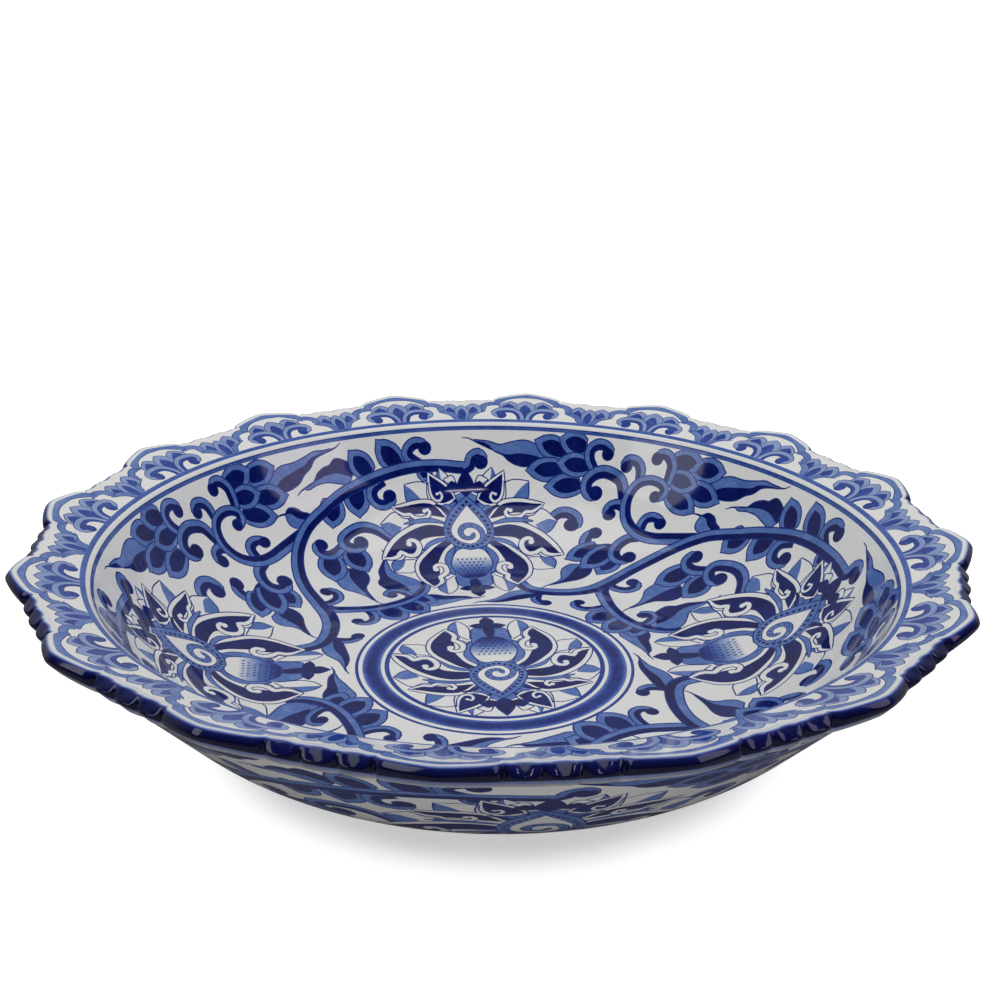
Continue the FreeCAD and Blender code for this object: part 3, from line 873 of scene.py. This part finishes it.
def outside_painting():
    """The well's vines and lotuses again, brought to the outside."""
    art = Painting(unrolled, rolled)
    for quarter in range(4):
        art.move = turned(quarter, lambda points: outside_place(hand(points)))
        vines(art)
    for quarter in range(4):
        lotus(art, turned(quarter, lambda points: outside_place(hand(points))))
    return art


# ----------------------------------------------------------------- meshes


def triangles(points, edges):
    """Triangles over a plan, with every given edge kept; also the points' numbers."""
    found = delaunay_2d_cdt([Vector(p) for p in points], edges, [], 0, 1e-4, True)
    spots = np.array([tuple(v) for v in found[0]])
    faces = np.array([f[:3] for f in found[2]])
    number = {}
    for new, olds in enumerate(found[3]):
        for old in olds:
            number[old] = new
    a, b, c = (spots[faces[:, k]] for k in range(3))
    area = (b[:, 0] - a[:, 0]) * (c[:, 1] - a[:, 1]) - (b[:, 1] - a[:, 1]) * (c[:, 0] - a[:, 0])
    faces[area < 0] = faces[area < 0][:, ::-1]
    return spots, faces, number


def winding(outline, points):
    """How often a closed outline goes round each point."""
    turns = np.zeros(len(points), int)
    x, y = points[:, 0], points[:, 1]
    for (ax, ay), (bx, by) in zip(outline, np.roll(outline, -1, axis=0)):
        side = (bx - ax) * (y - ay) - (x - ax) * (by - ay)
        turns += (ay <= y) & (by > y) & (side > 0)
        turns -= (ay > y) & (by <= y) & (side < 0)
    return turns


def loop_radius(loop, angle):
    """Radius at which a ray from the axis meets a loop round it."""
    angles = np.arctan2(loop[:, 1], loop[:, 0])
    return np.interp(angle, angles, np.hypot(loop[:, 0], loop[:, 1]), period=2 * math.pi)


def inside_loops(points, loops):
    """Inside the first loop and outside the others."""
    angle = np.arctan2(points[:, 1], points[:, 0])
    radius = np.hypot(points[:, 0], points[:, 1])
    keep = radius < loop_radius(loops[0], angle)
    for hole in loops[1:]:
        keep &= radius > loop_radius(hole, angle)
    return keep


def loops_and_edges(outlines):
    """All points of closed outlines in one array, and the edges between them."""
    points, edges, start = [], [], 0
    for outline in outlines:
        count = len(outline)
        points.append(outline)
        edges += [(start + k, start + (k + 1) % count) for k in range(count)]
        start += count
    return np.vstack(points), edges


def last_painted(art, centres):
    """The tone of the last area over each face's centre, bare glaze where there is none."""
    tones = np.full(len(centres), WHITE)
    order = np.argsort(centres[:, 0])
    across = centres[order, 0]
    for outline, tone in art.areas:
        low, high = outline.min(axis=0), outline.max(axis=0)
        near = order[slice(*np.searchsorted(across, (low[0], high[0])))]
        near = near[(centres[near, 1] >= low[1]) & (centres[near, 1] <= high[1])]
        tones[near[winding(outline, centres[near]) != 0]] = tone
    return tones


def painted_face(loops, rings, art):
    """Plan points, triangles and tones of the painted side."""
    points, edges = loops_and_edges(loops + [outline for outline, _ in art.areas])
    spots, faces, _ = triangles(np.vstack([points, rings]), edges)
    centres = spots[faces].mean(axis=1)
    kept = inside_loops(centres, loops)
    faces, centres = faces[kept], centres[kept]
    used = np.unique(faces)
    renumber = np.full(len(spots), -1)
    renumber[used] = np.arange(len(used))
    return spots[used], renumber[faces], last_painted(art, centres)


def plain_back(loops):
    """Plan points and triangles of the hidden side, and the numbers of the loops' points."""
    points, edges = loops_and_edges(loops)
    rings = np.vstack([circle(radius, 72) for radius in range(10, 200, 10)])
    rings = rings[inside_loops(rings, [loops[0] * 0.99] + [hole * 1.01 for hole in loops[1:]])]
    spots, faces, numbers = triangles(np.vstack([points, rings]), edges)
    return spots, faces[inside_loops(spots[faces].mean(axis=1), loops)], numbers


def closing_sides(loops, spots, back_numbers):
    """Triangles from the painted side's border to the back's.

    They join the loops' own points, and skip the few that aren't found again
    after rounding. Where a painted outline crosses a loop, the painted side has
    points between them that the sides pass without sharing.
    """
    number_at = {tuple(np.round(spots[k], 2)): k for k in range(len(spots))}
    sides, first = [], 0
    for loop in loops:
        numbers = [number_at.get(tuple(np.round(point, 2))) for point in loop]
        for k in range(len(loop)):
            on = (k + 1) % len(loop)
            a, b = numbers[k], numbers[on]
            if a is None or b is None:
                continue
            back_a = len(spots) + back_numbers[first + k]
            back_b = len(spots) + back_numbers[first + on]
            sides += [(a, back_a, b), (b, back_a, back_b)]
        first += len(loop)
    return np.array(sides)


def painted_part(name, loops, rings, height, back_height, art, up=1):
    """A painted face over a plan, a plain back inside the wall, and sides between.

    loops are the face's outer edge and its hole. rings are plan points that
    carry the curvature. up is 1 for a face seen from above, -1 from below.
    """
    spots, faces, tones = painted_face(loops, rings, art)
    radius = np.hypot(spots[:, 0], spots[:, 1])
    slope = slope_of(height, radius) / np.maximum(radius, 1e-6)
    normals = np.column_stack([-slope * spots[:, 0], -slope * spots[:, 1], np.ones(len(spots))])
    normals *= up / np.linalg.norm(normals, axis=1)[:, None]
    back_spots, back_faces, back_numbers = plain_back(loops)
    back_radius = np.hypot(back_spots[:, 0], back_spots[:, 1])
    sides = closing_sides(loops, spots, back_numbers)
    points = np.vstack([np.column_stack([spots, height(radius)]),
                        np.column_stack([back_spots, back_height(back_radius)])])
    all_faces = np.vstack([faces[:, ::up], len(spots) + back_faces[:, ::-up], sides])
    cobalt = np.zeros(len(all_faces))
    cobalt[:len(faces)] = tones
    part = new_part(name, points, all_faces, "CORNER", np.repeat(cobalt, 3))
    set_normals(part.data, all_faces[:len(faces)], normals)
    unwrap(part.data, points, all_faces, len(faces))
    return part


def new_part(name, points, faces, domain, cobalt):
    """A smooth object from points in millimetres, with the cobalt as an attribute."""
    mesh = bpy.data.meshes.new(name)
    mesh.from_pydata((points * MM).tolist(), [], faces.tolist())
    mesh.update()
    attribute = mesh.attributes.new("cobalt", "FLOAT", domain)
    attribute.data.foreach_set("value", cobalt)
    mesh.polygons.foreach_set("use_smooth", [True] * len(faces))
    part = bpy.data.objects.new(name, mesh)
    bpy.context.scene.collection.objects.link(part)
    return part


def set_normals(mesh, painted_faces, normals):
    """Gives the painted faces the true surface's normals and leaves the others flat."""
    flat = np.zeros(len(mesh.polygons) * 3)
    mesh.polygons.foreach_get("normal", flat)
    corners = np.repeat(flat.reshape(-1, 3), 3, axis=0)
    corners[:painted_faces.size] = normals[painted_faces.ravel()]
    mesh.normals_split_custom_set(corners.tolist())


def unwrap(mesh, points, faces, painted):
    """Lays the painted face out flat by plan; the hidden back gets a small corner."""
    reach = np.hypot(points[:, 0], points[:, 1]).max()
    plan = points[:, :2][faces.ravel()] / reach
    uv = 0.5 + 0.495 * plan
    uv[painted * 3:] = 0.012 + 0.01 * plan[painted * 3:]
    layer = mesh.uv_layers.new(name="OFBake")
    layer.data.foreach_set("uv", uv.ravel())


def surface_rings(start, end, steps):
    """Plan points on rings; steps gives the spacing across and along at a radius."""
    rings, radius, turn = [], start, 0.0
    while radius < end:
        gap, along = steps(radius)
        count = max(6, int(2 * math.pi * radius / along))
        angles = turn + np.arange(count) * 2 * math.pi / count
        rings.append(np.stack([radius * np.cos(angles), radius * np.sin(angles)], 1))
        turn += math.pi / count
        radius += gap
    return np.vstack(rings)


def well_steps(radius):
    """Coarse on the flat floor, fine where the wall turns up."""
    return (4.0, 5.0) if radius < 88 else (1.8, 3.2)


def flange_steps(radius):
    """Very fine where the flange turns out of the well."""
    return (0.45, 1.6) if radius < 175.5 else (4.0, 4.0)


def outside_steps(radius):
    """Coarse under the base, fine up the side."""
    return (5.0, 8.0) if radius < 100 else (1.9, 3.4)


WELL_DEPTH = 3.0
FLANGE_DEPTH = 2.4
OUTSIDE_DEPTH = 2.6


def make_well():
    """The painted floor and wall, over a back inside the clay."""
    rings = surface_rings(3, 169.5, well_steps)
    return painted_part("well_glaze", [WELL_SEAM], rings, inside_z,
                        lambda radius: inside_z(radius) - WELL_DEPTH, well_painting())


def make_flange():
    """The painted flange, over a back inside the clay."""
    rings = surface_rings(SEAM_R + 0.3, 190, flange_steps)
    return painted_part("flange_glaze", [TOP_SEAM, WELL_SEAM], rings, flange_z,
                        lambda radius: flange_z(radius) - FLANGE_DEPTH, flange_painting())


def make_outside():
    """The painted outside with the base, under a back inside the clay."""
    rings = surface_rings(4, 192, outside_steps)
    return painted_part("outside_glaze", [UNDER_SEAM], rings, outside_z,
                        lambda radius: outside_z(radius) + OUTSIDE_DEPTH, outside_painting(), -1)


def rounded_path(corners, radii, count=5):
    """Rounds the corners of open paths, one path for every column of the rim."""
    rows = [corners[0]]
    for k in range(1, len(corners) - 1):
        here, before, after = corners[k], corners[k - 1], corners[k + 1]
        back, on = before - here, after - here
        back_length = np.linalg.norm(back, axis=1)[:, None] + 1e-9
        on_length = np.linalg.norm(on, axis=1)[:, None] + 1e-9
        cut = np.minimum(radii[k], 0.46 * np.minimum(back_length, on_length))
        first, last = here + back / back_length * cut, here + on / on_length * cut
        for t in np.linspace(0, 1, count):
            rows.append(first * (1 - t) ** 2 + here * 2 * t * (1 - t) + last * t * t)
    rows.append(corners[-1])
    return np.array(rows)


def carried_round(name, rows, angles, cobalt, turn=1):
    """A closed part from a loop of rows, each a (radius, height) for every angle.

    turn is -1 when the loop of rows runs the other way round.
    """
    count, columns = len(rows), len(angles)
    x = rows[:, :, 0] * np.cos(angles)
    y = rows[:, :, 0] * np.sin(angles)
    points = np.stack([x, y, rows[:, :, 1]], -1).reshape(-1, 3)
    grid = np.arange(count * columns).reshape(count, columns)
    down, on = np.roll(grid, -1, axis=0), np.roll(grid, -1, axis=1)
    opposite = np.roll(down, -1, axis=1)
    faces = np.stack([grid, down, opposite, on], -1).reshape(-1, 4)[:, ::turn]
    return new_part(name, points, faces, "POINT", np.repeat(cobalt, columns))


EDGE_FALL = math.radians(48)
EDGE_ROUNDING = [0, 1.3, 3.2, 2.8, 0]
UNDER_ROUNDING = 2.6
CREST_COBALT = (0, 0, 0.14, 0.32, 0.52, 0.72, 0.86, 0.94)
UNDER_COBALT = (0.9, 0.5, 0.0, 0, 0)


def make_edge():
    """The cobalt edge: a band of sections, one for every column round the rim."""
    lip = flange_z(TOP)
    under = outside_z(EDGE) + UNDER_ROUNDING
    brow = eased(np.maximum(lip - (EDGE - TOP) * math.tan(EDGE_FALL), under + 1.0), 3)
    seam_top, seam_under = TOP - TOP_OVERLAP, EDGE - UNDER_OVERLAP
    shown = [(seam_top, flange_z(seam_top)), (TOP, lip), (EDGE, brow), (EDGE, under),
             (seam_under, outside_z(seam_under))]
    hidden = [(seam_under - 1.0, outside_z(seam_under) + 1.6),
              (seam_top - 1.0, flange_z(seam_top) - 1.4)]
    shown, hidden = (np.array([np.stack(corner, 1) for corner in part]) for part in (shown, hidden))
    rows = np.concatenate([rounded_path(shown, EDGE_ROUNDING, 6), hidden])
    cobalt = np.ones(len(rows))
    cobalt[:len(CREST_COBALT)] = CREST_COBALT
    cobalt[-len(UNDER_COBALT):] = UNDER_COBALT
    return carried_round("edge_band", rows, RIM_ANGLES, cobalt)


FOOT_SECTION = [(91.5, BASE_Z), (95.5, 0.0), (101.5, 0.0), (FOOT_R, BASE_Z)]
FOOT_ROUNDING = [0, 1.5, 1.5, 0]
FOOT_HIDDEN = [(102.0, 10.5), (93.5, 10.5)]
FOOT_COLUMNS = 288


def make_foot():
    """The foot ring: glazed sides and a bare standing face."""
    corners = np.array([[corner] for corner in FOOT_SECTION])
    rows = rounded_path(corners, FOOT_ROUNDING, 6)
    rows = np.concatenate([rows, [[corner] for corner in FOOT_HIDDEN]])
    bare = np.zeros(len(rows))
    bare[4:10] = 1.0
    angles = np.arange(FOOT_COLUMNS) * 2 * math.pi / FOOT_COLUMNS
    rows = np.repeat(rows, FOOT_COLUMNS, axis=1)
    return carried_round("foot_ring_glaze", rows, angles, bare, -1)


# -------------------------------------------------------------- materials


def srgb(red, green, blue):
    """A colour given as it looks on screen, 0 to 255."""
    values = []
    for part in (red, green, blue):
        part /= 255
        values.append(part / 12.92 if part <= 0.04045 else ((part + 0.055) / 1.055) ** 2.4)
    return (*values, 1.0)


PORCELAIN = srgb(227, 228, 225)
BARE_CLAY = srgb(214, 206, 190)


def new_material(name):
    """An empty node material; gives it with its shader, nodes and links."""
    material = bpy.data.materials.new(name)
    material.use_nodes = True
    tree = material.node_tree
    return material, tree.nodes["Principled BSDF"], tree.nodes, tree.links


def ramp_of(nodes, stops):
    """A colour ramp from (place, colour) pairs."""
    node = nodes.new("ShaderNodeValToRGB")
    ramp = node.color_ramp
    while len(ramp.elements) < len(stops):
        ramp.elements.new(0.5)
    for element, (place, colour) in zip(ramp.elements, stops):
        element.position = place
        element.color = colour
    return node


def maths(nodes, links, operation, *inputs):
    """The output of a maths node; each input is a number or another node's output."""
    node = nodes.new("ShaderNodeMath")
    node.operation = operation
    for socket, value in zip(node.inputs, inputs):
        if isinstance(value, float):
            socket.default_value = value
        else:
            links.new(value, socket)
    return node.outputs[0]


def map_range(nodes, links, value, start, end):
    """A node that takes values between the parts of start to those of end."""
    node = nodes.new("ShaderNodeMapRange")
    node.inputs["From Min"].default_value, node.inputs["From Max"].default_value = start
    node.inputs["To Min"].default_value, node.inputs["To Max"].default_value = end
    links.new(value, node.inputs["Value"])
    return node


def noise(nodes, links, scale, detail):
    """Noise over the object's own place, in metres."""
    place = nodes.new("ShaderNodeTexCoord")
    node = nodes.new("ShaderNodeTexNoise")
    node.inputs["Scale"].default_value = scale
    node.inputs["Detail"].default_value = detail
    links.new(place.outputs["Object"], node.inputs["Vector"])
    return node.outputs["Fac"]


def cobalt_amount(nodes, links, wash):
    """The painted amount, uneven as a loaded brush leaves it, and the even amount."""
    painted = nodes.new("ShaderNodeAttribute")
    painted.attribute_name = "cobalt"
    even = painted.outputs["Fac"]
    uneven = nodes.new("ShaderNodeMix")
    uneven.inputs["Factor"].default_value = 0.42
    links.new(noise(nodes, links, 90, 4), uneven.inputs["A"])
    links.new(noise(nodes, links, 420, 2), uneven.inputs["B"])
    centred = maths(nodes, links, "SUBTRACT", uneven.outputs["Result"], 0.5)
    scaled = maths(nodes, links, "MULTIPLY", centred, wash)
    only_paint = maths(nodes, links, "MULTIPLY", scaled, even)
    total = maths(nodes, links, "ADD", even, only_paint)
    total.node.use_clamp = True
    return total, even


def glazed_material(name, wash, stops, rough=0.07):
    """Cobalt of every amount under a clear, hard glaze; gives material, shader and even amount."""
    material, shader, nodes, links = new_material(name)
    shader.inputs["Roughness"].default_value = rough
    shader.inputs["IOR"].default_value = 1.5
    shader.inputs["Specular IOR Level"].default_value = 0.5
    amount, even = cobalt_amount(nodes, links, wash)
    ramp = ramp_of(nodes, stops)
    links.new(amount, ramp.inputs["Fac"])
    links.new(ramp.outputs["Color"], shader.inputs["Base Color"])
    return material, shader, even


def painted_porcelain():
    """Brush painting, from a thin wash to full cobalt."""
    return glazed_material("painted_porcelain", 0.74, [
        (0.0, PORCELAIN),
        (0.2, srgb(160, 177, 208)),
        (0.42, srgb(82, 114, 178)),
        (0.62, srgb(34, 62, 146)),
        (0.8, srgb(12, 32, 112)),
        (1.0, srgb(2, 12, 78)),
    ])[0]


def cobalt_edge():
    """The thick dark glaze of the edge, thin and pale on its crest."""
    return glazed_material("cobalt_glaze", 0.12, [
        (0.0, PORCELAIN),
        (0.3, srgb(140, 158, 198)),
        (0.6, srgb(40, 58, 134)),
        (0.9, srgb(8, 13, 66)),
        (1.0, srgb(4, 7, 42)),
    ], 0.09)[0]


def foot_material():
    """White glaze on the sides and wiped, rougher clay where the bowl stands."""
    material, shader, bare = glazed_material("foot_porcelain", 0.1,
                                             [(0.0, PORCELAIN), (1.0, BARE_CLAY)])
    tree = material.node_tree
    rough = maths(tree.nodes, tree.links, "MULTIPLY_ADD", bare, 0.6, 0.1)
    tree.links.new(rough, shader.inputs["Roughness"])
    return material


# ------------------------------------------------------------------ scene


FLOOR_REACH = 40.0
FLOOR_PAPER = (0.66, 0.66, 0.66, 1)
# The floor's colour as the glaze reflects it, darker than its plain colour: a painted reflection.
FLOOR_DARKER_IN_REFLECTIONS = (0.25, 0.24, 0.23, 1)
# Radii in metres over which the floor's camera-only glow rises between the two FLOOR_GLOW strengths;
# the weaker glow inside them is a painted contact shadow.
SHADOW_EDGE = (0.114, 0.138)
FLOOR_GLOW = (0.47, 0.84)


def finish_part(part, material, slot, *nodes):
    """Gives a part its material and its body, and hides the CAD nodes it stands for."""
    part.data.materials.append(material)
    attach(part, "root")
    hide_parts(*nodes)


def make_floor():
    """A pale floor under and round the bowl. The camera sees it glow white, with a weaker glow close to
    the bowl as a painted contact shadow; in the glaze it shows darker, a painted reflection.
    """
    mesh = bpy.data.meshes.new("floor")
    corners = [(x * FLOOR_REACH, y * FLOOR_REACH, 0) for x, y in ((-1, -1), (1, -1), (1, 1), (-1, 1))]
    mesh.from_pydata(corners, [], [(0, 1, 2, 3)])
    floor = bpy.data.objects.new("floor", mesh)
    bpy.context.scene.collection.objects.link(floor)
    material, shader, nodes, links = new_material("studio_floor")
    shader.inputs["Roughness"].default_value = 0.8
    shader.inputs["Specular IOR Level"].default_value = 0.1
    shader.inputs["Emission Color"].default_value = (1, 1, 1, 1)
    seen = nodes.new("ShaderNodeLightPath")
    # Glossy rays see the floor darker than its plain colour: a painted reflection.
    floor_and_reflection_colour = ramp_of(nodes, [(0.0, FLOOR_PAPER), (1.0, FLOOR_DARKER_IN_REFLECTIONS)])
    links.new(seen.outputs["Is Glossy Ray"], floor_and_reflection_colour.inputs["Fac"])
    links.new(floor_and_reflection_colour.outputs["Color"], shader.inputs["Base Color"])
    # A glow that only the camera sees, weaker close to the bowl: a painted contact shadow.
    place = nodes.new("ShaderNodeTexCoord")
    away = nodes.new("ShaderNodeVectorMath")
    away.operation = "LENGTH"
    links.new(place.outputs["Object"], away.inputs[0])
    glow_with_painted_shadow = map_range(nodes, links, away.outputs["Value"], SHADOW_EDGE, FLOOR_GLOW)
    glow_with_painted_shadow.interpolation_type = "SMOOTHSTEP"
    glow = maths(nodes, links, "MULTIPLY", seen.outputs["Is Camera Ray"], glow_with_painted_shadow.outputs["Result"])
    links.new(glow, shader.inputs["Emission Strength"])
    mesh.materials.append(material)


def mix_by(nodes, links, factor, first, second):
    """A mix of two values; each is a number or another node's output."""
    node = nodes.new("ShaderNodeMix")
    links.new(factor, node.inputs["Factor"])
    for socket, value in ((node.inputs["A"], first), (node.inputs["B"], second)):
        if isinstance(value, float):
            socket.default_value = value
        else:
            links.new(value, socket)
    return node.outputs["Result"]


def make_world():
    """A white studio, seen dimmer in the glaze and darkest behind the camera."""
    world = bpy.data.worlds.new("studio")
    bpy.context.scene.world = world
    world.use_nodes = True
    nodes, links = world.node_tree.nodes, world.node_tree.links
    backdrop = nodes["Background"]
    backdrop.inputs["Color"].default_value = (1, 1, 1, 1)
    seen = nodes.new("ShaderNodeLightPath")
    look = nodes.new("ShaderNodeTexCoord")
    axes = nodes.new("ShaderNodeSeparateXYZ")
    links.new(look.outputs["Generated"], axes.inputs[0])
    in_glaze = map_range(nodes, links, axes.outputs["Y"], (0.1, 0.6), (0.03, 0.32))
    lighting = mix_by(nodes, links, seen.outputs["Is Glossy Ray"], 0.62, in_glaze.outputs["Result"])
    strength = mix_by(nodes, links, seen.outputs["Is Camera Ray"], lighting, 1.2)
    links.new(strength, backdrop.inputs["Strength"])
    bpy.context.scene.view_settings.view_transform = "Standard"


def add_area(name, place, target, width, height, power, colour=(1, 1, 1)):
    """A rectangular lamp at a place, facing a target."""
    light = bpy.data.lights.new(name, "AREA")
    light.shape = "RECTANGLE"
    light.size, light.size_y = width, height
    light.energy = power
    light.color = colour
    lamp = bpy.data.objects.new(name, light)
    bpy.context.scene.collection.objects.link(lamp)
    lamp.location = place
    lamp.rotation_euler = (Vector(target) - Vector(place)).to_track_quat("-Z", "Y").to_euler()


def make_lights():
    """Three softboxes, and a narrow strip that shines in the wall's glaze."""
    add_area("softbox_top", (0, 0.2, 1.9), (0, 0, 0), 1.6, 1.2, 7)
    add_area("softbox_left", (-1.5, -0.5, 1.3), (0, 0, 0.05), 0.8, 0.9, 4)
    add_area("softbox_right", (1.5, -0.6, 1.2), (0, 0, 0.05), 0.9, 0.9, 4, (0.86, 0.76, 1))
    add_area("strip", (0.12, -0.55, 1.3), (0, 0.15, 0.04), 0.22, 0.015, 0.25, (1, 0.85, 0.92))


LENS = 47.95
SENSOR = 36
SHIFT = (0.00354, 0.02385)
CAMERA_TARGET = Vector((0, 0, 0.086))
CAMERA_OFFSET = Vector((0, -0.54116, 0.21533))
CAMERA_SWING = math.radians(-6.34)
CAMERA_ROLL = 0.0117


def make_camera():
    """The camera at the photograph's angle, with its slight roll."""
    data = bpy.data.cameras.new("camera")
    data.lens = LENS
    data.sensor_width = SENSOR
    data.shift_x, data.shift_y = SHIFT
    data.clip_start, data.clip_end = 0.02, 20
    camera = bpy.data.objects.new("camera", data)
    bpy.context.scene.collection.objects.link(camera)
    place = Matrix.Rotation(CAMERA_SWING, 3, "Z") @ CAMERA_OFFSET + CAMERA_TARGET
    back = (place - CAMERA_TARGET).normalized()
    level = Vector((0, 0, 1)).cross(back).normalized()
    upright = back.cross(level)
    right = level * math.cos(CAMERA_ROLL) + upright * math.sin(CAMERA_ROLL)
    above = upright * math.cos(CAMERA_ROLL) - level * math.sin(CAMERA_ROLL)
    turn = Matrix((right, above, back)).transposed().to_4x4()
    camera.matrix_world = Matrix.Translation(place) @ turn
    bpy.context.scene.camera = camera


porcelain = painted_porcelain()
finish_part(make_well(), porcelain, "painted_porcelain", "bowl_body")
finish_part(make_flange(), porcelain, "painted_porcelain", "rim_flange")
finish_part(make_outside(), porcelain, "painted_porcelain", "bowl_body", "rim_flange")
finish_part(make_edge(), cobalt_edge(), "cobalt_glaze", "rim_edge")
finish_part(make_foot(), foot_material(), "foot_porcelain", "foot_ring")
make_floor()
make_world()
make_lights()
make_camera()

bpy.context.view_layer.update()
